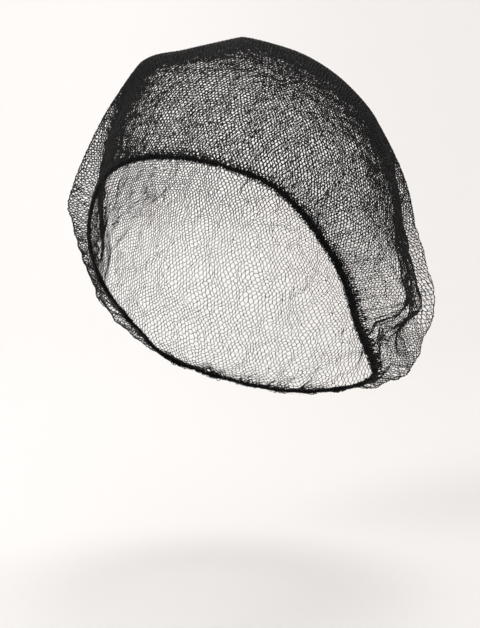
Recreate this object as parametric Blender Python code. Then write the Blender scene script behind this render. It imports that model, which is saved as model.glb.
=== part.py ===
"""A knitted hairnet in the form that it has when it is worn: a net bag on an elastic edge band.

Run it with blender --background --python part.py, or from Blender's text editor. Metres, +Z up.
The forehead is at -Y, the nape at +Y and the wearer's left side at +X. The origin is the point
inside the net where it sits on the crown of the head.

The bag is described from a centre inside the head. An azimuth goes round +Z from +X, and a polar
angle goes down from +Z. The bag's surface has one distance from the centre in each direction.
"""

import math
from collections import namedtuple

import bpy
from mathutils import Vector

# Sizes of the bag, in metres
CROWN_RISE = 0.099  # from the centre up to the inside of the crown
HALF_WIDTH = 0.092  # from the centre to each side
FRONT_REACH = 0.094  # from the centre to the forehead
BACK_REACH = 0.106  # from the centre to the back
NAPE_REACH = 0.104  # from the centre down to the nape
NET_WALL = 0.0010  # thickness of the knitted net
FOLD_DEPTH = 0.0060  # height of a full fold
FOLD_TAPER = 0.15  # share of a fold's length over which each end fades to half of its height

# Sizes of the elastic band, in metres
BAND_REACH = 0.100  # from the centre to the band's middle, where the share is 1
BAND_WIDTH = 0.0036
BAND_THICKNESS = 0.0026
BAND_GAP = 0.0004  # between the band and the net's edge

# Gathers where the net is knitted on to the band
GATHER_COUNT = 21
GATHER_DEPTH = 0.0012
GATHER_HEIGHT = 0.0080  # above the band, where the gathers are deepest

# How finely the surfaces are divided
COLUMNS = 84
NET_ROWS = 30
ROW_CROWDING = 1.35  # above 1, the rows stand closer together towards the band
BAND_SIDES = 8

CENTRE = Vector((0.0, 0.0, -CROWN_RISE))

# Colours and finishes
BLACK_KNIT = (0.012, 0.012, 0.013, 1.0)
BLACK_ELASTIC = (0.007, 0.007, 0.008, 1.0)

# Each row is a section of the free bag at a polar angle in degrees, and gives the distance from the
# centre in eight directions, as shares of the plain egg shape that the sizes above make.
Section = namedtuple("Section", "polar front front_left left back_left back back_right right front_right")
SECTIONS = (
    Section(0, 1.000, 1.000, 1.000, 1.000, 1.000, 1.000, 1.000, 1.000),
    Section(15, 0.996, 0.999, 0.992, 0.987, 0.989, 0.991, 0.989, 0.994),
    Section(30, 0.991, 0.977, 0.967, 0.967, 0.977, 0.986, 1.003, 1.023),
    Section(45, 0.972, 0.960, 0.949, 0.949, 0.963, 0.962, 0.968, 0.978),
    Section(60, 0.980, 0.960, 0.937, 0.937, 0.954, 0.944, 0.942, 0.951),
    Section(75, 0.985, 0.955, 0.941, 0.951, 0.972, 0.954, 0.956, 0.961),
    Section(90, 0.980, 0.945, 0.951, 0.976, 0.991, 0.982, 0.968, 0.948),
    Section(105, 0.984, 0.959, 1.046, 1.097, 1.070, 1.060, 0.980, 0.909),
    Section(120, 1.000, 0.966, 1.106, 1.179, 1.120, 1.130, 1.060, 0.950),
    Section(135, 1.000, 0.979, 1.083, 1.191, 1.130, 1.140, 1.030, 0.950),
    Section(150, 1.000, 0.950, 1.040, 1.100, 1.060, 1.050, 0.950, 0.920),
)

# Each row is a point of the band on the wearer's left side, and the right side is its mirror image.
# Reach is a share of BAND_REACH. Hug is how far above the band the net stays on the head, and puff is
# the height over which it then swells to the free bag, both as shares of HALF_WIDTH.
BandPoint = namedtuple("BandPoint", "azimuth polar reach hug puff")
BAND_POINTS = (
    BandPoint(-90, 61.4, 0.931, 0.02, 0.30),
    BandPoint(-70, 63.1, 0.892, 0.02, 0.30),
    BandPoint(-50, 70.5, 0.819, 0.02, 0.32),
    BandPoint(-30, 92.9, 0.778, 0.02, 0.35),
    BandPoint(-10, 117.9, 0.790, 0.01, 0.32),
    BandPoint(10, 130.0, 0.878, 0.00, 0.22),
    BandPoint(30, 136.5, 1.030, 0.00, 0.14),
    BandPoint(50, 141.5, 1.090, 0.00, 0.13),
    BandPoint(70, 145.0, 1.110, 0.00, 0.13),
    BandPoint(90, 146.5, 1.115, 0.00, 0.13),
)

# Each row is a fold that runs between two directions, in degrees. Its half width is a share of
# HALF_WIDTH, and its height a share of FOLD_DEPTH: a crease has a height below zero.
Fold = namedtuple("Fold", "azimuth_a polar_a azimuth_b polar_b half_width height")
FOLDS = (
    # The crease under the pouch, from the left ear round the back to the right ear
    Fold(0, 118, 40, 120, 0.045, -1.10),
    Fold(40, 120, 90, 122, 0.045, -1.10),
    Fold(90, 122, 140, 121, 0.045, -1.00),
    Fold(140, 121, 182, 117, 0.045, -0.90),
    # The edge of the pouch, just above the crease
    Fold(5, 110, 50, 113, 0.070, 0.50),
    Fold(50, 113, 110, 114, 0.070, 0.45),
    Fold(110, 114, 170, 110, 0.070, 0.40),
    # The loose corners at the right side and at the top of the forehead
    Fold(195, 80, 225, 84, 0.065, 0.60),
    Fold(185, 28, 250, 34, 0.090, 0.25),
    # Soft folds that hang in the pouch
    Fold(12, 82, 18, 110, 0.070, 0.22),
    Fold(52, 74, 60, 112, 0.080, 0.30),
    Fold(76, 66, 82, 112, 0.060, -0.28),
    Fold(100, 72, 98, 114, 0.085, 0.30),
    Fold(124, 70, 128, 112, 0.060, -0.28),
    Fold(152, 76, 160, 110, 0.075, 0.28),
    # Pleats in the lower lobe, between the crease and the band
    Fold(52, 127, 48, 134, 0.060, -0.25),
    Fold(80, 128, 82, 139, 0.065, -0.30),
    Fold(112, 128, 108, 139, 0.065, -0.30),
    Fold(140, 127, 146, 134, 0.060, -0.25),
)


def cubic(a, b, c, d, t):
    """Smooth value between b and c at share t, where a and d are the values beyond them."""
    return b + 0.5 * t * (c - a + t * (2 * a - 5 * b + 4 * c - d + t * (3 * (b - c) + d - a)))


def smoothstep(t):
    t = min(1.0, max(0.0, t))
    return t * t * (3 - 2 * t)


def direction(azimuth, polar):
    """Unit vector at an azimuth and a polar angle, both in degrees."""
    a, p = math.radians(azimuth), math.radians(polar)
    return Vector((math.sin(p) * math.cos(a), math.sin(p) * math.sin(a), math.cos(p)))


def egg_radius(way):
    """Distance from the centre to the plain egg shape, along a unit vector."""
    along_y = FRONT_REACH if way.y < 0 else BACK_REACH
    along_z = CROWN_RISE + NET_WALL if way.z > 0 else NAPE_REACH
    return 1 / math.sqrt((way.x / HALF_WIDTH) ** 2 + (way.y / along_y) ** 2 + (way.z / along_z) ** 2)


def round_section(row, azimuth):
    """The section's share at an azimuth, smooth all the way round."""
    shares = SECTIONS[row][1:]
    place = ((azimuth + 90) % 360) / 45
    first = int(place)
    around = [shares[(first + step) % len(shares)] for step in (-1, 0, 1, 2)]
    return cubic(*around, place - first)


def section_share(azimuth, polar):
    """The share of the egg shape's distance in any direction, smooth between sections."""
    step = SECTIONS[1].polar - SECTIONS[0].polar
    place = min(max(polar / step, 0), len(SECTIONS) - 1.001)
    first = int(place)
    rows = [min(max(first + k, 0), len(SECTIONS) - 1) for k in (-1, 0, 1, 2)]
    return cubic(*[round_section(row, azimuth) for row in rows], place - first)


def fold_height(way):
    """Sum of the folds' heights along a unit vector."""
    height = 0.0
    for fold in FOLDS:
        start = direction(fold.azimuth_a, fold.polar_a)
        run = direction(fold.azimuth_b, fold.polar_b) - start
        share = min(1.0, max(0.0, (way - start).dot(run) / run.length_squared))
        beside = (way - start - run * share).length / fold.half_width
        taper = 0.5 + 0.5 * smoothstep(min(share, 1 - share) / FOLD_TAPER)
        height += fold.height * taper * math.exp(-(beside**2))
    return height * FOLD_DEPTH


def band_point(azimuth):
    """The band's row at any azimuth, smooth between the rows and the same on both sides."""
    folded = abs(((azimuth + 90) % 360) - 180)
    step = BAND_POINTS[1].azimuth - BAND_POINTS[0].azimuth
    place = (180 - folded) / step
    last = len(BAND_POINTS) - 1
    first = min(int(place), last - 1)
    rows = [last - abs(last - abs(first + k)) for k in (-1, 0, 1, 2)]
    values = [
        cubic(*[getattr(BAND_POINTS[row], name) for row in rows], place - first) for name in BandPoint._fields[1:]
    ]
    return BandPoint(azimuth, *values)


def gather_height(azimuth, above):
    """Ripple of the gathers at a height above the band: none at the forehead, full at the back."""
    side = smoothstep((math.sin(math.radians(azimuth)) + 0.75) / 0.9)
    rise = above / GATHER_HEIGHT
    return GATHER_DEPTH * side * rise * math.exp(1 - rise) * math.cos(math.radians(GATHER_COUNT * azimuth))


def net_point(azimuth, polar):
    """Point of the bag's outer surface."""
    way = direction(azimuth, polar)
    free = egg_radius(way) * section_share(azimuth, polar) + fold_height(way)
    band = band_point(azimuth)
    at_band = BAND_REACH * band.reach
    above = math.radians(band.polar - polar) * at_band
    swell = smoothstep((above / HALF_WIDTH - band.hug) / band.puff)
    radius = at_band + (free - at_band) * swell + gather_height(azimuth, max(above, 0.0))
    return CENTRE + way * radius


def band_place(azimuth):
    """Centre line point of the band, its run, and the way up into the net, on the bag's surface."""
    turn = 0.5
    polar = band_point(azimuth).polar
    here = net_point(azimuth, polar)
    run = (net_point(azimuth + turn, band_point(azimuth + turn).polar) - here).normalized()
    climb = net_point(azimuth, polar - turn) - here
    outward = run.cross(climb).normalized()
    if outward.dot(here - CENTRE) < 0:
        outward.negate()
    up = climb - run * climb.dot(run)
    return here, run, outward, up.normalized()


def net_edge_polar(azimuth):
    """Polar angle at which the net ends, clear of the band."""
    turn = 0.5
    polar = band_point(azimuth).polar
    here, _, _, up = band_place(azimuth)
    climb = (net_point(azimuth, polar - turn) - here).dot(up)
    return polar - turn * (BAND_WIDTH / 2 + BAND_GAP) / climb


def finish(obj, name, colour, roughness):
    """Names the object and gives it its own smooth material."""
    material = bpy.data.materials.new(name)
    material.use_nodes = True
    shader = material.node_tree.nodes["Principled BSDF"]
    shader.inputs["Base Color"].default_value = colour
    shader.inputs["Roughness"].default_value = roughness
    shader.inputs["Metallic"].default_value = 0.0
    material.diffuse_color = colour
    obj.data.materials.append(material)
    obj.data.shade_smooth()
    return obj


def mesh_object(name, points, faces):
    mesh = bpy.data.meshes.new(name)
    mesh.from_pydata(points, [], faces)
    mesh.validate()
    mesh.update()
    obj = bpy.data.objects.new(name, mesh)
    bpy.context.scene.collection.objects.link(obj)
    return obj


def make_net_bag():
    """The knitted bag: one sheet from the crown to the band, thickened inwards."""
    points = [net_point(0, 0)]
    faces = []
    azimuths = [360 * column / COLUMNS for column in range(COLUMNS)]
    edges = [net_edge_polar(azimuth) for azimuth in azimuths]
    for row in range(1, NET_ROWS + 1):
        share = 1 - (1 - row / NET_ROWS) ** ROW_CROWDING
        points += [net_point(azimuth, edge * share) for azimuth, edge in zip(azimuths, edges)]
    for column in range(COLUMNS):
        beside = (column + 1) % COLUMNS
        faces.append((0, 1 + column, 1 + beside))
        for row in range(NET_ROWS - 1):
            upper, lower = 1 + row * COLUMNS, 1 + (row + 1) * COLUMNS
            faces.append((upper + column, lower + column, lower + beside, upper + beside))
    net = mesh_object("net_bag", points, faces)
    wall = net.modifiers.new("wall", "SOLIDIFY")
    wall.thickness = NET_WALL
    wall.offset = -1
    wall.use_even_offset = True
    return finish(net, "black_net", BLACK_KNIT, 0.55)


def make_elastic_band():
    """The elastic band: one closed loop of an oval section, in line with the net's wall."""
    points = []
    faces = []
    for column in range(COLUMNS):
        here, _, outward, up = band_place(360 * column / COLUMNS)
        middle = here - outward * NET_WALL / 2
        for side in range(BAND_SIDES):
            angle = 2 * math.pi * side / BAND_SIDES
            across = up * math.cos(angle) * BAND_WIDTH / 2
            points.append(middle + across + outward * math.sin(angle) * BAND_THICKNESS / 2)
    for column in range(COLUMNS):
        ring, after = column * BAND_SIDES, (column + 1) % COLUMNS * BAND_SIDES
        for side in range(BAND_SIDES):
            beside = (side + 1) % BAND_SIDES
            faces.append((ring + side, ring + beside, after + beside, after + side))
    return finish(mesh_object("elastic_band", points, faces), "black_elastic", BLACK_ELASTIC, 0.85)


def main():
    for old in list(bpy.data.objects):
        bpy.data.objects.remove(old)
    make_net_bag()
    make_elastic_band()


if __name__ == "__main__":
    main()
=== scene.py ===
"""A knitted hairnet in its worn form: a bag of real net threads on a wound elastic band.

The file is laid out as a Blender add-on and runs as a script, from its main function. The plain
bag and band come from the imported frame. The net is knitted over the bag's outer face, the elastic
is wound along the band's centre line, and a pale stage is set round them. Metres, +Z up.
"""

import math

import bmesh
import bpy
import numpy as np
from mathutils import Matrix, Vector, noise
from mathutils.bvhtree import BVHTree
from mathutils.kdtree import KDTree


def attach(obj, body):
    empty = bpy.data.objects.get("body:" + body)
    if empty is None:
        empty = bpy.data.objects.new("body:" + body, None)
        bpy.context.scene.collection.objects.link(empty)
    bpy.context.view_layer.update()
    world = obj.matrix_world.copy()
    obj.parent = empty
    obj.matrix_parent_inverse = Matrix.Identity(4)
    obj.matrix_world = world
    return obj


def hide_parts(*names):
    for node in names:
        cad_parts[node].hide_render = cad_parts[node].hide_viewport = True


bl_info = {
    "name": "Knitted Hairnet",
    "version": (1, 0, 0),
    "blender": (4, 5, 0),
    "location": "View3D > Sidebar > Hairnet",
    "description": "Knits a hairnet over the packed frame, winds its elastic band and sets a stage",
    "category": "Add Mesh",
}

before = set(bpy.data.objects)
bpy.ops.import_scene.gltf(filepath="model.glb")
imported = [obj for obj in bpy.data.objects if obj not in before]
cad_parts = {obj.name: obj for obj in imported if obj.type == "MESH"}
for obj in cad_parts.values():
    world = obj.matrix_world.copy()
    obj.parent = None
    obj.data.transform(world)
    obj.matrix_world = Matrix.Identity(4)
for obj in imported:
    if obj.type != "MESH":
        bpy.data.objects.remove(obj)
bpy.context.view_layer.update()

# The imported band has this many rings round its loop.
BAND_RINGS = 84

# The band's length is measured in this many steps.
LENGTH_STEPS = 4000

# The nearest point on the band's centre line is looked up among this many.
LINE_POINTS = 3000

# About the net's radius, by which angles at its centre and lengths on the net stand for each other.
NET_RADIUS = 0.1

# The net begins to hang loose at this polar angle and is fully loose after this many more degrees.
# It is loose on the side that this azimuth points to.
LOOSE_START = 78
LOOSE_GROWTH = 22
LOOSE_SIDE = 80

# Where the loose net lies flat on itself, it ends in a sharp rim between two hollows. The last two
# rims are shallow, where the net is drawn tight over the crown. A rim has points, and each gives
# its azimuth and polar angle in degrees and the hollows' depth beside it, in metres.
RIMS = (
    (
        (34, 50, 0.0),
        (30, 78, 0.007),
        (28, 95, 0.012),
        (24, 108, 0.014),
        (20, 117, 0.012),
        (29, 126, 0.012),
        (48, 135, 0.011),
        (68, 141, 0.006),
        (90, 145, 0.0),
    ),
    (
        (214, 24, 0.0),
        (211, 50, 0.006),
        (205, 73, 0.013),
        (198, 87, 0.013),
        (188, 102, 0.008),
        (174, 116, 0.0),
    ),
    (
        (297, 27, 0.0),
        (299, 14, 0.0010),
        (328, 2, 0.0010),
        (109, 10, 0.0010),
        (112, 23, 0.0),
    ),
    (
        (254, 39, 0.0),
        (235, 33, 0.0007),
        (212, 30, 0.0007),
        (189, 31, 0.0007),
        (168, 37, 0.0),
    ),
)

# The distance from a rim to the bottom of the hollows beside it.
RIM_SPAN = 0.0145

# A rim's roundness, as a share of the distance to the hollows beside it.
RIM_SHARPNESS = 0.06

# The rows of cells wander in waves of three sizes. Each gives its waves per radius of the net and
# its share of the wander.
WANDER_WAVES = ((4.5, 1.0), (14, 0.5), (34, 0.36))

# Waves per metre in the net's creases: the soft ones, the bend of the sharp ones, and the large
# and the small sharp ones.
SOFT_CREASES = 45
CREASE_BEND = 30
LARGE_CREASES = 62
SMALL_CREASES = 115

# The gathers are deepest at this height over the band, and come this many waves to a metre of it.
GATHER_RISE = 0.006
GATHER_WAVES = 260

# The creases and hollows begin at this height over the band and are full after this much more.
FREE_START = 0.002
FREE_GROWTH = 0.012

# No thread is thinner than a stitch under this height over the band.
FIRM_HEIGHT = 0.004

# Cells are left off where they lie further than this below the band's middle.
NET_EDGE = 0.0002

# A cell's side is a stitch if it runs within this many degrees of its wale.
STITCH_LEAN = 30

# The net is knitted in panels. Each row gives a panel's name, the azimuths that it lies between
# and the polar angles that it lies between, in degrees.
PANELS = (
    ("net_crown", -180, 180, 0, 45),
    ("net_front", -165, -15, 45, 180),
    ("net_left_side", -15, 55, 45, 180),
    ("net_nape", 55, 125, 45, 180),
    ("net_right_side", 125, 195, 45, 180),
)

# The band's core has this many rings round its loop, and this many sides to a ring.
CORE_RINGS = 450
CORE_SIDES = 8

# The layers of covering yarn. Each gives the length of its turns as a share of the winding, the
# points to a turn, the way it is wound and its thickness as a share of the yarn.
YARN_LAYERS = ((1.0, 10, 1, 1.0), (2.6, 12, -1, 0.6))

# Points in an edge loop.
LOOP_POINTS = 6

# How far a thread's roughness swings to either side of its middle.
GLOSS_SWING = 0.12

# Width of the floor, its length from the backdrop's foot and the backdrop's height.
FLOOR_WIDTH = 12
FLOOR_LENGTH = 9
WALL_HEIGHT = 5

# A coordinate nearer to zero than this is zero.
TINY = 1e-6


class NetSettings(bpy.types.PropertyGroup):
    """Sizes and finish of the knitted net."""

    centre: bpy.props.FloatVectorProperty(
        name="Centre",
        description="Point inside the bag that the cells are laid out round",
        default=(0.0, 0.0, -0.099),
        size=3,
        subtype="XYZ",
        unit="LENGTH",
    )
    divisions: bpy.props.IntProperty(
        name="Divisions",
        description="Cuts along each side of the twenty triangles that the cells are laid out on",
        default=62,
        min=8,
        max=100,
    )
    tilt: bpy.props.FloatProperty(
        name="Tilt",
        description="Lean of the wales' gathering point from the top of the crown to the back",
        default=math.radians(40),
        subtype="ANGLE",
        unit="ROTATION",
    )
    spin: bpy.props.FloatProperty(
        name="Spin",
        description="Turn of the cells about the wales' gathering point",
        default=math.radians(14),
        subtype="ANGLE",
        unit="ROTATION",
    )
    thread: bpy.props.FloatProperty(
        name="Thread",
        description="Thickness of the thickest knots. The other stitches are shares of it",
        default=0.00112,
        subtype="DISTANCE",
        unit="LENGTH",
    )
    link_share: bpy.props.FloatProperty(
        name="Link",
        description="Thickness of the single threads between stitches, as a share of the thickest knots",
        default=0.50,
        min=0.1,
        max=1.0,
        subtype="FACTOR",
    )
    stitch_share: bpy.props.FloatProperty(
        name="Stitch",
        description="Thickness of the doubled thread in the wales, as a share of the thickest knots",
        default=0.80,
        min=0.1,
        max=1.0,
        subtype="FACTOR",
    )
    stitch_length: bpy.props.FloatProperty(
        name="Stitch length",
        description="Length of a stitch in a wale, as a share of an even cell's side",
        default=0.55,
        min=0.1,
        max=1.0,
        subtype="FACTOR",
    )
    knot_share: bpy.props.FloatProperty(
        name="Knots",
        description="Share of the stitches that are full knots",
        default=0.07,
        min=0.0,
        max=1.0,
        subtype="FACTOR",
    )
    slack_share: bpy.props.FloatProperty(
        name="Slack",
        description="Loss of thickness where the net hangs slack, as a share of a thread",
        default=0.43,
        min=0.0,
        max=0.9,
        subtype="FACTOR",
    )
    unevenness: bpy.props.FloatProperty(
        name="Unevenness",
        description="How far each stitch stands from its even place, as a share of a cell's side",
        default=0.11,
        min=0.0,
        max=0.5,
        subtype="FACTOR",
    )
    wander: bpy.props.FloatProperty(
        name="Wander",
        description="How far the rows of cells wander from their even places",
        default=0.0023,
        subtype="DISTANCE",
        unit="LENGTH",
    )
    crumple: bpy.props.FloatProperty(
        name="Crumple",
        description="Depth of the fine creases in the loose pouch",
        default=0.0014,
        subtype="DISTANCE",
        unit="LENGTH",
    )
    gather: bpy.props.FloatProperty(
        name="Gather",
        description="Depth of the fine gathers where the net meets the band",
        default=0.0012,
        subtype="DISTANCE",
        unit="LENGTH",
    )
    seed: bpy.props.IntProperty(
        name="Seed",
        description="Start of the random draws for the net",
        default=11,
        min=0,
    )
    colour: bpy.props.FloatVectorProperty(
        name="Colour",
        description="Colour of the net's thread",
        default=(0.005, 0.005, 0.0055, 1.0),
        size=4,
        min=0.0,
        max=1.0,
        subtype="COLOR",
    )
    worn_colour: bpy.props.FloatVectorProperty(
        name="Worn colour",
        description="Colour of the net's thread where it is drawn thin and catches the light",
        default=(0.016, 0.015, 0.0145, 1.0),
        size=4,
        min=0.0,
        max=1.0,
        subtype="COLOR",
    )


class BandSettings(bpy.types.PropertyGroup):
    """Sizes and finish of the wound elastic band."""

    slimness: bpy.props.FloatProperty(
        name="Slimness",
        description="Size of the wound cord over its yarn, as a share of the packed band",
        default=0.86,
        min=0.3,
        max=1.2,
        subtype="FACTOR",
    )
    spread: bpy.props.FloatProperty(
        name="Spread",
        description="How much wider the band lies over the temples than over the forehead, as a share",
        default=0.35,
        min=0.0,
        max=1.0,
        subtype="FACTOR",
    )
    winding: bpy.props.FloatProperty(
        name="Winding",
        description="Length of band that one turn of the covering yarn takes",
        default=0.0015,
        subtype="DISTANCE",
        unit="LENGTH",
    )
    yarn: bpy.props.FloatProperty(
        name="Yarn",
        description="Thickness of the covering yarn",
        default=0.00085,
        subtype="DISTANCE",
        unit="LENGTH",
    )
    loop_spacing: bpy.props.FloatProperty(
        name="Loop spacing",
        description="Length of band between two edge loops",
        default=0.0016,
        subtype="DISTANCE",
        unit="LENGTH",
    )
    loop_height: bpy.props.FloatProperty(
        name="Loop height",
        description="How far an edge loop stands out from the band",
        default=0.0009,
        subtype="DISTANCE",
        unit="LENGTH",
    )
    fuzz_count: bpy.props.IntProperty(
        name="Fuzz",
        description="Number of loose fibre ends along the band",
        default=2200,
        min=0,
    )
    fuzz_length: bpy.props.FloatProperty(
        name="Fuzz length",
        description="Length of the longest loose fibre ends",
        default=0.0013,
        subtype="DISTANCE",
        unit="LENGTH",
    )
    fuzz_thickness: bpy.props.FloatProperty(
        name="Fuzz thickness",
        description="Thickness of a loose fibre at its root",
        default=0.00011,
        subtype="DISTANCE",
        unit="LENGTH",
    )
    seed: bpy.props.IntProperty(
        name="Seed",
        description="Start of the random draws for the band",
        default=5,
        min=0,
    )
    colour: bpy.props.FloatVectorProperty(
        name="Colour",
        description="Colour of the covering yarn",
        default=(0.0012, 0.0012, 0.0015, 1.0),
        size=4,
        min=0.0,
        max=1.0,
        subtype="COLOR",
    )
    worn_colour: bpy.props.FloatVectorProperty(
        name="Worn colour",
        description="Colour of the covering yarn where it catches the light",
        default=(0.006, 0.006, 0.0068, 1.0),
        size=4,
        min=0.0,
        max=1.0,
        subtype="COLOR",
    )


class StageSettings(bpy.types.PropertyGroup):
    """Camera, floor and light."""

    floor_height: bpy.props.FloatProperty(
        name="Floor",
        description="Height of the floor under the crown",
        default=-0.285,
        subtype="DISTANCE",
        unit="LENGTH",
    )
    depth: bpy.props.FloatProperty(
        name="Depth",
        description="How far the backdrop's foot stands behind the hairnet",
        default=1.8,
        subtype="DISTANCE",
        unit="LENGTH",
    )
    bend: bpy.props.FloatProperty(
        name="Bend",
        description="Size of the bend between the floor and the backdrop",
        default=1.0,
        subtype="DISTANCE",
        unit="LENGTH",
    )
    azimuth: bpy.props.FloatProperty(
        name="Azimuth",
        description="Turn of the camera from the front towards the wearer's left",
        default=math.radians(25),
        subtype="ANGLE",
        unit="ROTATION",
    )
    elevation: bpy.props.FloatProperty(
        name="Elevation",
        description="Rise of the camera above the net's centre",
        default=math.radians(6),
        subtype="ANGLE",
        unit="ROTATION",
    )
    distance: bpy.props.FloatProperty(
        name="Distance",
        description="Distance of the camera from the net's centre",
        default=0.95,
        subtype="DISTANCE",
        unit="LENGTH",
    )
    drop: bpy.props.FloatProperty(
        name="Drop",
        description="How far under the net's centre the camera looks",
        default=0.0412,
        subtype="DISTANCE",
        unit="LENGTH",
    )
    lens: bpy.props.FloatProperty(
        name="Lens",
        description="Focal length for a frame 36 mm high",
        default=105.8,
        min=1.0,
        unit="CAMERA",
    )
    key_power: bpy.props.FloatProperty(
        name="Key light",
        description="Power of the large light at the front, in watts",
        default=21.0,
        min=0.0,
        unit="POWER",
    )
    wall_power: bpy.props.FloatProperty(
        name="Wall light",
        description="Power of the light on the backdrop, in watts",
        default=2.0,
        min=0.0,
        unit="POWER",
    )
    fill_power: bpy.props.FloatProperty(
        name="Fill light",
        description="Power of the light on the wearer's left, in watts",
        default=5.0,
        min=0.0,
        unit="POWER",
    )
    top_power: bpy.props.FloatProperty(
        name="Top light",
        description="Power of the light over the crown, in watts",
        default=9.0,
        min=0.0,
        unit="POWER",
    )
    room_light: bpy.props.FloatProperty(
        name="Room light",
        description="Strength of the even light from all sides",
        default=0.52,
        min=0.0,
    )
    # The backdrop's colour is painted light and shade: brighter on the left, darker on the right,
    # changing over this distance from the middle.
    spread: bpy.props.FloatProperty(
        name="Spread",
        description="Distance from the middle over which the backdrop's tone changes",
        default=0.20,
        subtype="DISTANCE",
        unit="LENGTH",
    )
    # Painted light on the left of the backdrop and painted shade on its right.
    left_painted_light_colour: bpy.props.FloatVectorProperty(
        name="Left colour",
        description="Colour of the backdrop on the left",
        default=(0.97, 0.962, 0.955, 1.0),
        size=4,
        min=0.0,
        max=1.0,
        subtype="COLOR",
    )
    right_painted_shade_colour: bpy.props.FloatVectorProperty(
        name="Right colour",
        description="Colour of the backdrop on the right",
        default=(0.90, 0.885, 0.872, 1.0),
        size=4,
        min=0.0,
        max=1.0,
        subtype="COLOR",
    )


def only(obj):
    """Makes the object the only one selected, and the active one."""
    if bpy.context.object and bpy.context.object.mode != "OBJECT":
        bpy.ops.object.mode_set(mode="OBJECT")
    bpy.ops.object.select_all(action="DESELECT")
    obj.select_set(True)
    bpy.context.view_layer.objects.active = obj
    return obj


def new_piece(name, data):
    """A new object in the scene, the only one selected."""
    obj = bpy.data.objects.new(name, data)
    bpy.context.scene.collection.objects.link(obj)
    return only(obj)


def points_of(obj):
    """The places of the mesh's points, one row each."""
    co = np.empty(len(obj.data.vertices) * 3)
    obj.data.vertices.foreach_get("co", co)
    return co.reshape(-1, 3)


def unit(rows):
    """The rows, each made one unit long."""
    return rows / np.linalg.norm(rows, axis=-1, keepdims=True)


def smoothstep(t):
    """A smooth rise from 0 to 1 as t goes from 0 to 1."""
    t = np.clip(t, 0.0, 1.0)
    return t * t * (3 - 2 * t)


def azimuth_and_polar(away):
    """Azimuth from +X and polar angle from +Z, in degrees, of vectors from the net's centre."""
    way = unit(away)
    azimuth = np.degrees(np.arctan2(way[:, 1], way[:, 0]))
    return azimuth, np.degrees(np.arccos(np.clip(way[:, 2], -1, 1)))


def direction(azimuth, polar):
    """Unit vector at an azimuth and a polar angle, both in degrees."""
    a, p = math.radians(azimuth), math.radians(polar)
    return np.array([math.sin(p) * math.cos(a), math.sin(p) * math.sin(a), math.cos(p)])


def merged_copy(node, name):
    """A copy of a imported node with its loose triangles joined."""
    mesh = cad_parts[node].data.copy()
    mesh.name = name
    obj = new_piece(name, mesh)
    bpy.ops.object.mode_set(mode="EDIT")
    bpy.ops.mesh.select_all(action="SELECT")
    bpy.ops.mesh.remove_doubles(threshold=1e-5)
    bpy.ops.object.mode_set(mode="OBJECT")
    return obj


def round_loop(rows, places):
    """Smooth values at places round a closed loop of rows, where the places run from 0 to 1."""
    count = len(rows)
    place = np.mod(places, 1.0) * count
    first = np.floor(place).astype(int)
    t = (place - first)[:, None]
    a, b, c, d = (rows[(first + step) % count] for step in (-1, 0, 1, 2))
    return b + 0.5 * t * (c - a + t * (2 * a - 5 * b + 4 * c - d + t * (3 * (b - c) + d - a)))


class BandLine:
    """The band's centre line with its directions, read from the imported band's rings."""

    def __init__(self, centre):
        band = merged_copy("elastic_band", "band_line")
        points = points_of(band)
        bpy.data.objects.remove(band)
        azimuth, _ = azimuth_and_polar(points - centre)
        ring = np.round(azimuth / (360 / BAND_RINGS)).astype(int) % BAND_RINGS
        rings = [points[ring == number] for number in range(BAND_RINGS)]
        sections = [self.section(own, centre) for own in rings]
        self.middles, self.ups, self.outs = (np.array(part) for part in zip(*sections))
        first = rings[0] - self.middles[0]
        self.half_width = np.abs(first @ self.ups[0]).max()
        self.half_thickness = np.abs(first @ self.outs[0]).max()
        fine = round_loop(self.middles, np.arange(LENGTH_STEPS) / LENGTH_STEPS)
        steps = np.linalg.norm(np.roll(fine, -1, 0) - fine, axis=1)
        self.length = steps.sum()
        self.run_to = np.concatenate([[0], np.cumsum(steps)]) / self.length

    def section(self, points, centre):
        """Middle of a ring of points, its way up along the band's width and its way out."""
        middle = points.mean(0)
        away = unit((middle - centre)[None])[0]
        _, _, axes = np.linalg.svd(points - middle)
        up, out = axes[0], axes[1]
        flat = math.hypot(away[0], away[1])
        climb = np.array([-away[2] * away[0] / flat, -away[2] * away[1] / flat, flat])
        return middle, up * np.sign(up @ climb), out * np.sign(out @ away)

    def at(self, along):
        """Middle, up and out at distances along the band, in metres."""
        share = np.mod(np.asarray(along) / self.length, 1.0)
        place = np.interp(share, self.run_to, np.arange(LENGTH_STEPS + 1) / LENGTH_STEPS)
        middle, up, out = (round_loop(rows, place) for rows in (self.middles, self.ups, self.outs))
        return middle, unit(up), unit(out)

    def lookup(self):
        """Points all along the line, their ways up and a tree that finds the nearest of them."""
        middles, ups, _ = self.at(np.arange(LINE_POINTS) * self.length / LINE_POINTS)
        nearest = KDTree(LINE_POINTS)
        for number, middle in enumerate(middles):
            nearest.insert(middle, number)
        nearest.balance()
        return middles, ups, nearest


class WoundCord:
    """The cord that the covering yarn is wound on: an oval section along the band's centre line."""

    def __init__(self, band, centre):
        self.line = BandLine(centre)
        self.centre = centre
        self.spread = band.spread
        self.wide = self.line.half_width * band.slimness - band.yarn / 2
        self.thick = self.line.half_thickness * band.slimness - band.yarn / 2

    def half_width(self, middle):
        """Half of the cord's width at points of its centre line. It lies wider over the temples."""
        azimuth, _ = azimuth_and_polar(middle - self.centre)
        sideways = np.abs(np.cos(np.radians(azimuth)))
        return self.wide * (1 + self.spread * smoothstep((sideways - 0.35) / 0.45))

    def surface(self, along, angle, lift):
        """Points at distances along the cord and angles round it, lifted off its surface."""
        middle, up, out = self.line.at(along)
        up = up * (np.cos(angle) * (self.half_width(middle) + lift))[:, None]
        return middle + up + out * (np.sin(angle) * (self.thick + lift))[:, None]


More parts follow.
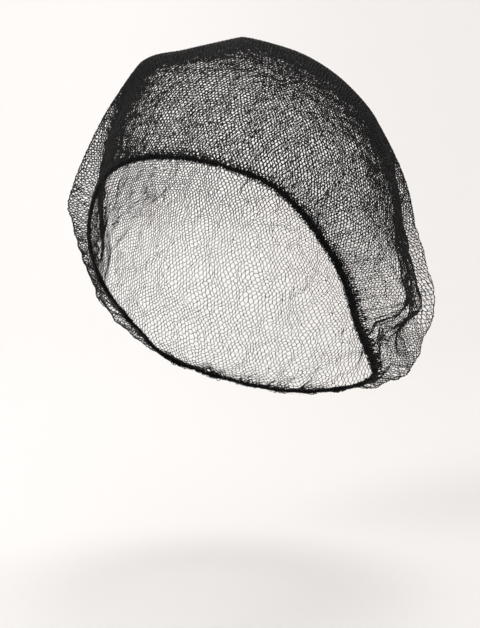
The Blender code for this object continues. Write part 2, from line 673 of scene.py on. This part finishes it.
def yarn_mesh(name, strands, thickness, closed=False):
    """One mesh of strands. Each strand is its points and the share of the thickness at each."""
    curve = bpy.data.curves.new(name, "CURVE")
    curve.dimensions = "3D"
    curve.bevel_depth = thickness / 2
    curve.bevel_resolution = 0
    curve.use_fill_caps = not closed
    for points, shares in strands:
        spline = curve.splines.new("POLY")
        spline.points.add(len(points) - 1)
        spline.points.foreach_set("co", np.column_stack([points, np.ones(len(points))]).ravel())
        spline.points.foreach_set("radius", shares)
        spline.use_cyclic_u = closed
        spline.use_smooth = True
    new_piece(name, curve)
    bpy.ops.object.convert(target="MESH")
    obj = bpy.context.object
    obj.data.name = name
    bpy.ops.object.shade_smooth()
    return obj


def thread_material(name, dark, light, roughness, shine, grain):
    """Black thread: mottled colour, uneven gloss and a fine twisted grain, all in Object coordinates."""
    material = bpy.data.materials.new(name)
    material.use_nodes = True
    nodes, links = material.node_tree.nodes, material.node_tree.links
    shader = nodes["Principled BSDF"]
    where = nodes.new("ShaderNodeTexCoord")
    patches = nodes.new("ShaderNodeTexNoise")
    patches.inputs["Scale"].default_value = 90
    patches.inputs["Detail"].default_value = 4
    fibres = nodes.new("ShaderNodeTexNoise")
    fibres.inputs["Scale"].default_value = grain
    fibres.inputs["Detail"].default_value = 3
    fibres.inputs["Roughness"].default_value = 0.65
    blend = nodes.new("ShaderNodeMix")
    blend.data_type = "FLOAT"
    blend.inputs["Factor"].default_value = 0.6
    colours = nodes.new("ShaderNodeValToRGB")
    colours.color_ramp.elements[0].position = 0.38
    colours.color_ramp.elements[0].color = dark
    colours.color_ramp.elements[1].position = 0.72
    colours.color_ramp.elements[1].color = light
    gloss = nodes.new("ShaderNodeMapRange")
    gloss.inputs["From Min"].default_value = 0.3
    gloss.inputs["From Max"].default_value = 0.7
    gloss.inputs["To Min"].default_value = roughness - GLOSS_SWING
    gloss.inputs["To Max"].default_value = roughness + GLOSS_SWING
    bump = nodes.new("ShaderNodeBump")
    bump.inputs["Strength"].default_value = 0.52
    bump.inputs["Distance"].default_value = 0.0001
    links.new(where.outputs["Object"], patches.inputs["Vector"])
    links.new(where.outputs["Object"], fibres.inputs["Vector"])
    links.new(patches.outputs["Fac"], blend.inputs["A"])
    links.new(fibres.outputs["Fac"], blend.inputs["B"])
    links.new(blend.outputs["Result"], colours.inputs["Fac"])
    links.new(colours.outputs["Color"], shader.inputs["Base Color"])
    links.new(patches.outputs["Fac"], gloss.inputs["Value"])
    links.new(gloss.outputs["Result"], shader.inputs["Roughness"])
    links.new(fibres.outputs["Fac"], bump.inputs["Height"])
    links.new(bump.outputs["Normal"], shader.inputs["Normal"])
    shader.inputs["Specular IOR Level"].default_value = shine
    material.diffuse_color = dark
    return material


def dress(obj, material, slot, *nodes):
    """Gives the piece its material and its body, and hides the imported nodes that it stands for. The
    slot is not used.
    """
    obj.data.materials.clear()
    obj.data.materials.append(material)
    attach(obj, "root")
    if nodes:
        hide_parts(*nodes)


class HAIRNET_OT_shape_form(bpy.types.Operator):
    """Shape the smooth form that the net is knitted over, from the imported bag's outer face"""

    bl_idname = "hairnet.shape_form"
    bl_label = "Shape the Form"
    bl_options = {"REGISTER", "UNDO"}

    def keep_outer_face(self, form):
        """Cuts away all of the form but the bag's outer face, which the highest face belongs to."""
        bpy.ops.object.mode_set(mode="EDIT")
        bpy.ops.mesh.select_mode(type="FACE")
        bpy.ops.mesh.select_all(action="DESELECT")
        bm = bmesh.from_edit_mesh(form.data)
        highest = max(bm.faces, key=lambda face: face.calc_center_median().z + face.normal.z)
        highest.select_set(True)
        bm.faces.active = highest
        bmesh.update_edit_mesh(form.data)
        bpy.ops.mesh.faces_select_linked_flat(sharpness=math.radians(55))
        bpy.ops.mesh.select_all(action="INVERT")
        bpy.ops.mesh.delete(type="FACE")
        bpy.ops.mesh.select_all(action="SELECT")
        bpy.ops.mesh.tris_convert_to_quads()
        bpy.ops.object.mode_set(mode="OBJECT")

    def carry_edge_on(self, form, line):
        """Carries the edge on to the far side of the band, so that the net ends inside the band."""
        bpy.ops.object.mode_set(mode="EDIT")
        bpy.ops.mesh.select_mode(type="EDGE")
        bpy.ops.mesh.select_all(action="DESELECT")
        bpy.ops.mesh.select_non_manifold()
        bpy.ops.mesh.extrude_edges_move()
        middles, ups, nearest = line.lookup()
        bm = bmesh.from_edit_mesh(form.data)
        for vert in bm.verts:
            if vert.select:
                _, number, _ = nearest.find(vert.co)
                vert.co = Vector(middles[number] - ups[number] * line.half_width)
        bmesh.update_edit_mesh(form.data)
        bpy.ops.mesh.select_mode(type="VERT")
        bpy.ops.object.mode_set(mode="OBJECT")

    def execute(self, context):
        line = BandLine(np.array(context.scene.hairnet_net.centre))
        form = merged_copy("net_bag", "net_form")
        self.keep_outer_face(form)
        self.carry_edge_on(form, line)
        form.modifiers.new("smooth", "SUBSURF").levels = 2
        bpy.ops.object.modifier_apply(modifier="smooth")
        return {"FINISHED"}


def looseness(azimuth, polar):
    """How loose the net hangs: 0 where it is drawn over the crown, 1 in the pouch at the nape."""
    below = smoothstep((polar - LOOSE_START) / LOOSE_GROWTH)
    return below * smoothstep((np.cos(np.radians(azimuth - LOOSE_SIDE)) + 0.45) / 0.5)


def gather_height(depth, azimuth, height, along):
    """Height of the gathers, at a height over the band and a distance along it.

    They are deepest a little over the band, and deeper at the back than over the forehead.
    """
    back = smoothstep((math.sin(math.radians(azimuth)) + 0.75) / 0.9)
    rise = max(height, 0.0) / GATHER_RISE
    ripple = noise.noise(Vector((along * GATHER_WAVES, 0.3, height * 25)))
    return depth * (0.25 + 0.75 * back) * rise * math.exp(1 - rise) * ripple * 2.2


def crumple_height(place, loose):
    """Height of the net's creases, as a share of the crumple depth. Only loose net has sharp ones."""
    height = 0.25 * noise.noise(place * SOFT_CREASES)
    if loose > 0:
        warp = noise.noise_vector(place * CREASE_BEND) * 0.006
        large = abs(noise.noise((place + warp) * LARGE_CREASES))
        small = abs(noise.noise((place - warp) * SMALL_CREASES + Vector((7, 3, 5))))
        height += loose * (0.9 - 3.0 * min(large, 0.42) + 0.5 * (0.3 - small))
    return height


def rim_hollows(ways):
    """Depth of the hollows on both sides of the rims, for unit vectors from the centre."""
    total = np.zeros(len(ways))
    for rim in RIMS:
        nearest = np.full(len(ways), np.inf)
        depth = np.zeros(len(ways))
        for (azimuth_a, polar_a, depth_a), (azimuth_b, polar_b, depth_b) in zip(rim, rim[1:]):
            start, end = direction(azimuth_a, polar_a), direction(azimuth_b, polar_b)
            arc = math.acos(start @ end)
            onward = unit((end - start * (start @ end))[None])[0]
            share = np.clip(np.arctan2(ways @ onward, ways @ start) / arc, 0, 1)
            foot = np.cos(share * arc)[:, None] * start + np.sin(share * arc)[:, None] * onward
            beside = np.linalg.norm(ways - foot, axis=1)
            closer = beside < nearest
            nearest[closer] = beside[closer]
            depth[closer] = (depth_a + (depth_b - depth_a) * share)[closer]
        beside = np.hypot(nearest * NET_RADIUS / RIM_SPAN, RIM_SHARPNESS) - RIM_SHARPNESS
        total += depth * beside * np.exp((1 - beside**2) / 2)
    return total


def wandered(way, wander):
    """A unit vector with the wander of its row of cells added."""
    shift = Vector()
    for waves, share in WANDER_WAVES:
        shift += share * noise.noise_vector(Vector(way) * waves)
    return way + np.array(shift) * wander / NET_RADIUS


class HAIRNET_OT_knit_net(bpy.types.Operator):
    """Knit the net's hexagonal cells over the form, as real threads with small knots"""

    bl_idname = "hairnet.knit_net"
    bl_label = "Knit the Net"
    bl_options = {"REGISTER", "UNDO"}

    def lay_out_cells(self, net):
        """A ball of even hexagonal cells, one unit in radius: its points, its cells and their sides."""
        bpy.ops.object.select_all(action="DESELECT")
        bpy.ops.mesh.primitive_ico_sphere_add(subdivisions=1, radius=1)
        ball = bpy.context.object
        ball.name = "net_cells"
        ball.data.transform(Matrix.Rotation(-net.tilt, 4, "X") @ Matrix.Rotation(net.spin, 4, "Z"))
        bpy.ops.object.mode_set(mode="EDIT")
        bpy.ops.mesh.select_all(action="SELECT")
        bpy.ops.mesh.subdivide(number_cuts=net.divisions)
        bpy.ops.object.mode_set(mode="OBJECT")
        ball.data.vertices.foreach_set("co", unit(points_of(ball)).ravel())
        group = bpy.data.node_groups.new("hexagon_cells", "GeometryNodeTree")
        group.interface.new_socket("Geometry", in_out="INPUT", socket_type="NodeSocketGeometry")
        group.interface.new_socket("Geometry", in_out="OUTPUT", socket_type="NodeSocketGeometry")
        way_in, way_out = group.nodes.new("NodeGroupInput"), group.nodes.new("NodeGroupOutput")
        dual = group.nodes.new("GeometryNodeDualMesh")
        group.links.new(way_in.outputs[0], dual.inputs[0])
        group.links.new(dual.outputs[0], way_out.inputs[0])
        ball.modifiers.new("cells", "NODES").node_group = group
        bpy.ops.object.modifier_apply(modifier="cells")
        ways = unit(points_of(ball))
        cells = [list(face.vertices) for face in ball.data.polygons]
        pairs = np.array([edge.vertices[:] for edge in ball.data.edges])
        bpy.data.objects.remove(ball)
        return ways, cells, pairs

    def add_stitches(self, net, rng, ways, cells, pairs):
        """Gives every side of a cell that runs with the wales a stitch at its middle."""
        top = direction(90, math.degrees(net.tilt))
        middles = unit(ways[pairs].mean(1))
        wale = unit(middles * (middles @ top)[:, None] - top)
        side = unit(ways[pairs[:, 1]] - ways[pairs[:, 0]])
        stitched = np.abs((wale * side).sum(1)) > math.cos(math.radians(STITCH_LEAN))
        # Each stitch is drawn short, which makes the single threads between stitches steep.
        ends = pairs[stitched].ravel()
        spots = np.repeat(middles[stitched], 2, axis=0)
        ways[ends] = unit(spots + (ways[ends] - spots) * net.stitch_length)
        across = np.cross(middles, wale)
        size = np.linalg.norm(ways[pairs[:, 1]] - ways[pairs[:, 0]], axis=1)[:, None]
        middles += across * size * rng.normal(0, net.unevenness, (len(pairs), 1))
        number_of = {}
        for number, pair in enumerate(pairs[stitched]):
            number_of[tuple(sorted(pair))] = len(ways) + number
        filled = []
        for cell in cells:
            ring = []
            for vert, after in zip(cell, cell[1:] + cell[:1]):
                ring.append(vert)
                stitch = number_of.get((min(vert, after), max(vert, after)))
                if stitch is not None:
                    ring.append(stitch)
            filled.append(ring)
        return np.vstack([ways, middles[stitched]]), filled

    def drape(self, net, form, ways, hollows, loose):
        """Lays the points on the form with its gathers, creases and hollows.

        Gives the points and their heights over the band.
        """
        surface = BVHTree.FromObject(form, bpy.context.evaluated_depsgraph_get())
        centre = np.array(net.centre)
        line = BandLine(centre)
        middles, ups, nearest = line.lookup()
        azimuth, _ = azimuth_and_polar(ways)
        points = np.full((len(ways), 3), np.nan)
        above = np.full(len(ways), -1.0)
        for number, way in enumerate(ways):
            hit, _, _, distance = surface.ray_cast(Vector(centre), Vector(way))
            if hit is None:
                continue
            _, ring, _ = nearest.find(hit)
            height = float((np.array(hit) - middles[ring]) @ ups[ring])
            along = ring / LINE_POINTS * line.length
            free = smoothstep((height - FREE_START) / FREE_GROWTH)
            relief = gather_height(net.gather, azimuth[number], height, along)
            relief += net.crumple * free * crumple_height(hit, loose[number])
            relief -= free * hollows[number]
            points[number] = centre + way * (distance + relief)
            above[number] = height
        return points, above

    def thread_shares(self, net, rng, plain, slack, above):
        """Thickness of the thread at each point, as a share of the thickest knots.

        It is uneven everywhere, thinner where the net hangs slack, and no thinner than a stitch at
        the band. Some of the stitches, which come after the plain points, are full knots.
        """
        shares = np.full(len(above), net.stitch_share)
        shares[:plain] = net.link_share
        shares *= rng.uniform(0.86, 1.14, len(above)) * (1 - net.slack_share * slack)
        knots = rng.random(len(above)) < net.knot_share
        knots[:plain] = False
        shares[knots] = 1.0
        return np.where(above < FIRM_HEIGHT, np.maximum(shares, net.stitch_share), shares)

    def knit_panel(self, net, name, cells, points, shares):
        """One panel of the net, with a thread of its own thickness along every side of its cells."""
        used = sorted({vert for cell in cells for vert in cell})
        place = {vert: number for number, vert in enumerate(used)}
        faces = [[place[vert] for vert in cell] for cell in cells]
        mesh = bpy.data.meshes.new(name)
        mesh.from_pydata(points[used].tolist(), [], faces)
        panel = new_piece(name, mesh)
        group = panel.vertex_groups.new(name="thread")
        for number, vert in enumerate(used):
            group.add([number], float(shares[vert]), "REPLACE")
        threads = panel.modifiers.new("threads", "WIREFRAME")
        threads.thickness = net.thread
        threads.offset = 0
        threads.use_even_offset = False
        threads.use_boundary = True
        threads.use_replace = True
        threads.vertex_group = "thread"
        threads.thickness_vertex_group = 0
        bpy.ops.object.modifier_apply(modifier="threads")
        panel.vertex_groups.clear()
        bpy.ops.object.shade_smooth()
        return panel

    def execute(self, context):
        net = context.scene.hairnet_net
        centre = np.array(net.centre)
        form = bpy.data.objects["net_form"]
        rng = np.random.default_rng(net.seed)
        # The noise is shifted by a random state of its own, so that takes the seed too.
        noise.seed_set(net.seed)
        ways, cells, pairs = self.lay_out_cells(net)
        plain = len(ways)
        ways = np.array([wandered(way, net.wander) for way in ways])
        size = np.linalg.norm(ways[pairs[0, 1]] - ways[pairs[0, 0]])
        ways = unit(ways + rng.normal(0, size * net.unevenness, ways.shape))
        ways, cells = self.add_stitches(net, rng, ways, cells, pairs)
        hollows = rim_hollows(ways)
        loose = looseness(*azimuth_and_polar(ways))
        points, above = self.drape(net, form, ways, hollows, loose)
        bpy.data.objects.remove(form)
        # The net hangs slack in the deepest hollows, and a little less so all over the pouch.
        slack = np.maximum(hollows / hollows.max(), 0.8 * loose)
        shares = self.thread_shares(net, rng, plain, slack, above)

        middles = np.array([points[cell].mean(0) for cell in cells])
        heights = np.array([above[cell].mean() for cell in cells])
        kept = ~np.isnan(middles[:, 0]) & (heights > -NET_EDGE)
        azimuth, polar = azimuth_and_polar(np.where(kept[:, None], middles - centre, 1.0))
        material = thread_material(
            "black_net_thread", net.colour, net.worn_colour, roughness=0.45, shine=0.14, grain=2600
        )
        for name, low_azimuth, high_azimuth, low_polar, high_polar in PANELS:
            turned = np.mod(azimuth - low_azimuth, 360)
            mine = kept & (turned < high_azimuth - low_azimuth)
            mine &= (polar >= low_polar) & (polar < high_polar)
            own = [cells[number] for number in np.flatnonzero(mine)]
            dress(self.knit_panel(net, name, own, points, shares), material, "net", "net_bag")
        return {"FINISHED"}


class HAIRNET_OT_wind_band(bpy.types.Operator):
    """Wind the elastic band: a core, two layers of covering yarn, edge loops and loose fibres"""

    bl_idname = "hairnet.wind_band"
    bl_label = "Wind the Band"
    bl_options = {"REGISTER", "UNDO"}

    def lay_core(self, band, cord):
        """The core, which fills the band behind the yarn."""
        along = np.repeat(np.arange(CORE_RINGS) * cord.line.length / CORE_RINGS, CORE_SIDES)
        angle = np.tile(np.arange(CORE_SIDES) * 2 * math.pi / CORE_SIDES, CORE_RINGS)
        points = cord.surface(along, angle, np.full(len(along), -0.45 * band.yarn))
        faces = []
        for ring in range(CORE_RINGS):
            here, after = ring * CORE_SIDES, (ring + 1) % CORE_RINGS * CORE_SIDES
            for side in range(CORE_SIDES):
                beside = (side + 1) % CORE_SIDES
                faces.append((here + side, here + beside, after + beside, after + side))
        mesh = bpy.data.meshes.new("band_core")
        mesh.from_pydata(points.tolist(), [], faces)
        core = new_piece("band_core", mesh)
        bpy.ops.object.mode_set(mode="EDIT")
        bpy.ops.mesh.select_all(action="SELECT")
        bpy.ops.mesh.normals_make_consistent(inside=False)
        bpy.ops.object.mode_set(mode="OBJECT")
        bpy.ops.object.shade_smooth()
        return core

    def wind_yarn(self, band, cord, rng):
        """The layers of covering yarn, with uneven turns and slubs."""
        strands = []
        for pitch, steps, hand, thickness in YARN_LAYERS:
            turns = round(cord.line.length / (band.winding * pitch))
            slubs = turns * 3 + 1
            place = np.arange(turns * steps) / (turns * steps)
            uneven = np.interp(place, np.linspace(0, 1, turns + 1), rng.normal(0, 0.10, turns + 1))
            bulge = np.interp(place, np.linspace(0, 1, slubs), rng.uniform(0.75, 1.25, slubs))
            along = place * cord.line.length + uneven * band.winding
            angle = hand * 2 * math.pi * turns * place
            points = cord.surface(along, angle, uneven * 0.9 * band.yarn)
            strands.append((points, bulge * thickness))
        return yarn_mesh("band_winding", strands, band.yarn, closed=True)

    def add_loops(self, band, cord, rng):
        """Small loops along both edges."""
        loops = []
        turn = np.linspace(0, math.pi, LOOP_POINTS)
        for edge in (-1, 1):
            for number in range(round(cord.line.length / band.loop_spacing)):
                start = (number + rng.normal(0, 0.16)) * band.loop_spacing
                width = band.loop_spacing * rng.uniform(0.38, 0.62)
                height = band.loop_height * rng.uniform(0.35, 1.35)
                middle, up, out = cord.line.at(start + width * np.cos(turn))
                reach = cord.half_width(middle) + height * np.sin(turn)
                lean = rng.normal(0, 0.0004) + 0.0002 * np.cos(turn * 2)
                points = middle + up * (edge * reach)[:, None] + out * lean[:, None]
                loops.append((points, np.full(LOOP_POINTS, rng.uniform(0.35, 0.65))))
        return yarn_mesh("band_loops", loops, band.yarn)

    def add_fuzz(self, band, cord, rng):
        """Loose fibre ends, three points each, that drift along and round the band as they rise."""
        fibres = []
        rise = np.array([0.0, 0.5, 1.0])
        for _ in range(band.fuzz_count):
            start = rng.uniform(0, cord.line.length)
            angle = rng.uniform(0, 2 * math.pi)
            length = band.fuzz_length * rng.uniform(0.3, 1.0) ** 1.5
            drift = np.cumsum(np.concatenate([[0], rng.normal(0, 0.3, 2)])) * length
            lift = rise * length + 0.3 * band.yarn
            points = cord.surface(start + drift, angle + drift * 120, lift)
            fibres.append((points, np.array([1.0, 0.8, 0.35])))
        return yarn_mesh("band_fuzz", fibres, band.fuzz_thickness)

    def execute(self, context):
        band = context.scene.hairnet_band
        cord = WoundCord(band, np.array(context.scene.hairnet_net.centre))
        rng = np.random.default_rng(band.seed)
        material = thread_material(
            "black_elastic_yarn", band.colour, band.worn_colour, roughness=0.42, shine=0.09, grain=1900
        )
        dress(self.lay_core(band, cord), material, "elastic", "elastic_band")
        dress(self.wind_yarn(band, cord, rng), material, "elastic", "elastic_band")
        dress(self.add_loops(band, cord, rng), material, "elastic")
        dress(self.add_fuzz(band, cord, rng), material, "elastic")
        return {"FINISHED"}


def backdrop_material(stage):
    """Plain matt paper, with painted light and shade: painted brighter on the left than on the right."""
    material = bpy.data.materials.new("pale_backdrop_painted_light")
    material.use_nodes = True
    nodes, links = material.node_tree.nodes, material.node_tree.links
    shader = nodes["Principled BSDF"]
    where = nodes.new("ShaderNodeTexCoord")
    turned = nodes.new("ShaderNodeMapping")
    turned.inputs["Rotation"].default_value = (0, 0, -stage.azimuth)
    parts = nodes.new("ShaderNodeSeparateXYZ")
    across = nodes.new("ShaderNodeMapRange")
    across.interpolation_type = "SMOOTHSTEP"
    across.inputs["From Min"].default_value = -stage.spread
    across.inputs["From Max"].default_value = stage.spread
    # Painted light and shade: the base colour runs from the brighter left colour to the darker right
    # colour.
    painted_light_tint = nodes.new("ShaderNodeMix")
    painted_light_tint.data_type = "RGBA"
    painted_light_tint.inputs["A"].default_value = stage.left_painted_light_colour
    painted_light_tint.inputs["B"].default_value = stage.right_painted_shade_colour
    links.new(where.outputs["Object"], turned.inputs["Vector"])
    links.new(turned.outputs["Vector"], parts.inputs["Vector"])
    links.new(parts.outputs["X"], across.inputs["Value"])
    links.new(across.outputs["Result"], painted_light_tint.inputs["Factor"])
    links.new(painted_light_tint.outputs["Result"], shader.inputs["Base Color"])
    shader.inputs["Roughness"].default_value = 0.9
    shader.inputs["Specular IOR Level"].default_value = 0.1
    return material


class HAIRNET_OT_set_stage(bpy.types.Operator):
    """Set the floor with its curved backdrop, the soft lights and the camera"""

    bl_idname = "hairnet.set_stage"
    bl_label = "Set the Stage"
    bl_options = {"REGISTER", "UNDO"}

    def select_edges(self, sweep, fits):
        """Selects the edges whose ends both fit."""
        bm = bmesh.from_edit_mesh(sweep.data)
        for edge in bm.edges:
            edge.select_set(all(fits(vert.co) for vert in edge.verts))
        bmesh.update_edit_mesh(sweep.data)

    def lay_backdrop(self, stage, back):
        """Floor and backdrop, one sheet that is bent where they meet."""
        bpy.ops.object.select_all(action="DESELECT")
        bpy.ops.mesh.primitive_plane_add(size=1)
        sweep = bpy.context.object
        sweep.name = "backdrop"
        size = Matrix.Diagonal((FLOOR_WIDTH, FLOOR_LENGTH, 1, 1))
        sweep.data.transform(size @ Matrix.Translation((0, -0.5, 0)))
        bpy.ops.object.mode_set(mode="EDIT")
        bpy.ops.mesh.select_mode(type="EDGE")
        self.select_edges(sweep, lambda co: abs(co.y) < TINY)
        bpy.ops.mesh.extrude_edges_move(TRANSFORM_OT_translate={"value": (0, 0, WALL_HEIGHT)})
        self.select_edges(sweep, lambda co: abs(co.y) < TINY and abs(co.z) < TINY)
        bpy.ops.mesh.bevel(offset=stage.bend, segments=24)
        bpy.ops.object.mode_set(mode="OBJECT")
        bpy.ops.object.shade_smooth()
        behind = Vector((-back.x, -back.y, 0)).normalized() * stage.depth
        behind.z = stage.floor_height
        sweep.data.transform(Matrix.Translation(behind) @ Matrix.Rotation(stage.azimuth, 4, "Z"))
        sweep.data.materials.append(backdrop_material(stage))

    def light(self, name, place, target, size, power, colour):
        """A soft round light, turned to its target. Size in metres and power in watts."""
        bpy.ops.object.light_add(type="AREA", location=place)
        lamp = bpy.context.object
        lamp.name = name
        lamp.data.shape = "DISK"
        lamp.data.size = size
        lamp.data.energy = power
        lamp.data.color = colour
        lamp.rotation_euler = (target - Vector(place)).to_track_quat("-Z", "Y").to_euler()
        lamp.visible_camera = False

    def execute(self, context):
        stage = context.scene.hairnet_stage
        centre = Vector(context.scene.hairnet_net.centre)
        turn, rise = stage.azimuth, stage.elevation
        back = Vector((math.sin(turn) * math.cos(rise), -math.cos(turn) * math.cos(rise), math.sin(rise)))
        self.lay_backdrop(stage, back)

        wall = centre - Vector((back.x, back.y, 0)) * stage.depth
        over_wall = centre - back * 0.9 + Vector((-0.3, 0, 1.4))
        self.light("key_light", (-0.9, -1.6, 1.1), centre, 1.0, stage.key_power, (1.0, 0.98, 0.96))
        self.light("wall_light", over_wall, wall, 1.5, stage.wall_power, (1.0, 0.99, 0.98))
        self.light("fill_light", (1.8, -0.9, 0.5), centre, 1.2, stage.fill_power, (1.0, 0.97, 0.95))
        self.light("top_light", (0.1, 0.5, 1.6), centre, 1.0, stage.top_power, (1.0, 0.99, 0.98))

        world = bpy.data.worlds.new("studio")
        context.scene.world = world
        world.use_nodes = True
        background = world.node_tree.nodes["Background"]
        background.inputs["Color"].default_value = (1.0, 0.98, 0.97, 1.0)
        background.inputs["Strength"].default_value = stage.room_light

        right = Vector((math.cos(turn), math.sin(turn), 0))
        up = back.cross(right)
        bpy.ops.object.camera_add(location=centre + back * stage.distance)
        camera = bpy.context.object
        camera.name = "camera"
        look = centre - up * stage.drop - camera.location
        camera.rotation_euler = look.to_track_quat("-Z", "Y").to_euler()
        camera.data.sensor_fit = "VERTICAL"
        camera.data.sensor_height = 36
        camera.data.lens = stage.lens
        camera.data.clip_start = 0.01
        context.scene.camera = camera
        context.scene.view_settings.view_transform = "Standard"
        return {"FINISHED"}


class HAIRNET_PT_maker(bpy.types.Panel):
    """Lists the hairnet's sizes and the steps that make it"""

    bl_idname = "HAIRNET_PT_maker"
    bl_label = "Hairnet"
    bl_space_type = "VIEW_3D"
    bl_region_type = "UI"
    bl_category = "Hairnet"

    def draw(self, context):
        layout = self.layout
        for settings, steps in (
            (context.scene.hairnet_net, ("hairnet.shape_form", "hairnet.knit_net")),
            (context.scene.hairnet_band, ("hairnet.wind_band",)),
            (context.scene.hairnet_stage, ("hairnet.set_stage",)),
        ):
            box = layout.box()
            for name in settings.__annotations__:
                box.prop(settings, name)
            for step in steps:
                box.operator(step)


CLASSES = (
    NetSettings,
    BandSettings,
    StageSettings,
    HAIRNET_OT_shape_form,
    HAIRNET_OT_knit_net,
    HAIRNET_OT_wind_band,
    HAIRNET_OT_set_stage,
    HAIRNET_PT_maker,
)


def register():
    """Adds the settings, the steps and the panel to Blender."""
    for cls in CLASSES:
        bpy.utils.register_class(cls)
    bpy.types.Scene.hairnet_net = bpy.props.PointerProperty(type=NetSettings)
    bpy.types.Scene.hairnet_band = bpy.props.PointerProperty(type=BandSettings)
    bpy.types.Scene.hairnet_stage = bpy.props.PointerProperty(type=StageSettings)


def unregister():
    """Takes the settings, the steps and the panel out again."""
    del bpy.types.Scene.hairnet_stage
    del bpy.types.Scene.hairnet_band
    del bpy.types.Scene.hairnet_net
    for cls in reversed(CLASSES):
        bpy.utils.unregister_class(cls)


def main():
    """Makes the hairnet and its stage."""
    register()
    bpy.ops.hairnet.shape_form()
    bpy.ops.hairnet.knit_net()
    bpy.ops.hairnet.wind_band()
    bpy.ops.hairnet.set_stage()


if __name__ == "__main__":
    main()
